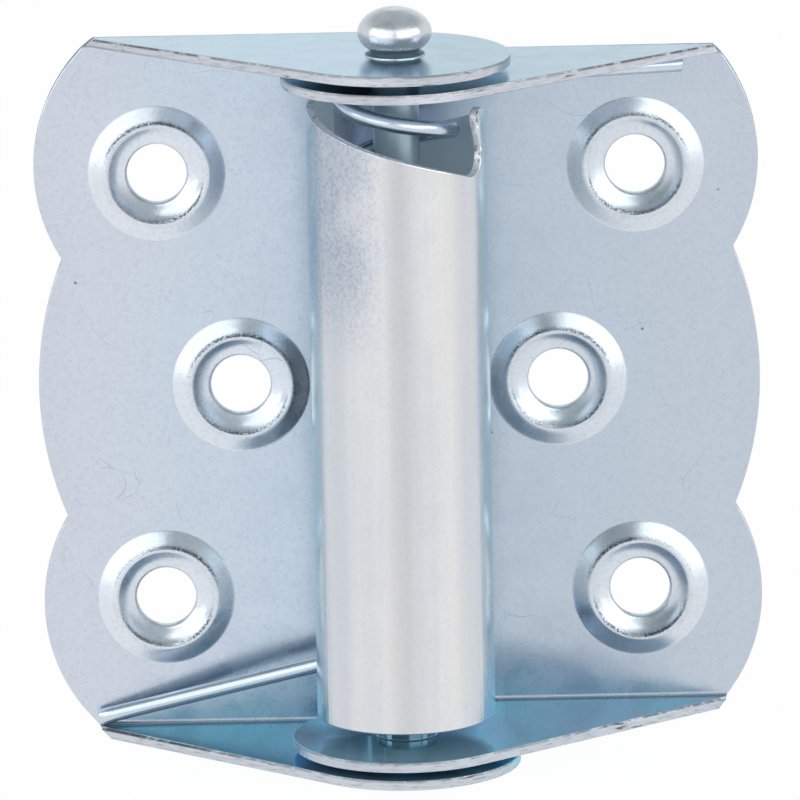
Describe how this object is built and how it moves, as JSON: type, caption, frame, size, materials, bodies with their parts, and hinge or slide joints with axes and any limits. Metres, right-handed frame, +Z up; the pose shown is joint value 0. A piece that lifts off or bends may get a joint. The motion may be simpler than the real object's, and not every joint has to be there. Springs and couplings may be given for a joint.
{
  "type": "self-closing hinge",
  "caption": "Surface-mounted spring hinge: scalloped leaves with dished screw holes, nested ears on a headed pin, coil spring in a rolled sleeve with a hooked crown.",
  "frame": {"origin": "centre of the screw pattern, on the mounting plane at the back of both leaves", "axes": "+X towards the door leaf, +Y into the wall, +Z up along the pin towards its head"},
  "size_m": [0.07, 0.024, 0.0757],
  "materials": {
    "leaf_zinc": "bright blue zinc plating on stamped sheet, finely scratched",
    "pin_steel": "bright zinc plating on a cold-headed pin",
    "spring_wire": "zinc-plated spring wire",
    "sleeve_zinc": "bright zinc plating on rolled sheet"
  },
  "bodies": {
    "frame": {"frame_leaf": "leaf_zinc", "hinge_pin": "pin_steel", "spring_sleeve": "sleeve_zinc", "torsion_spring": "spring_wire"},
    "door": {"door_leaf": "leaf_zinc"}
  },
  "joints": [
    {"name": "door_swing", "type": "hinge", "parent": "frame", "child": "door", "pos_m": [0, -0.013, 0], "axis": [0, 0, -1], "range_deg": [0, 180], "stiffness_Nm_per_rad": 0.26, "springref_deg": -28.65, "deforming": ["torsion_spring"]}
  ]
}
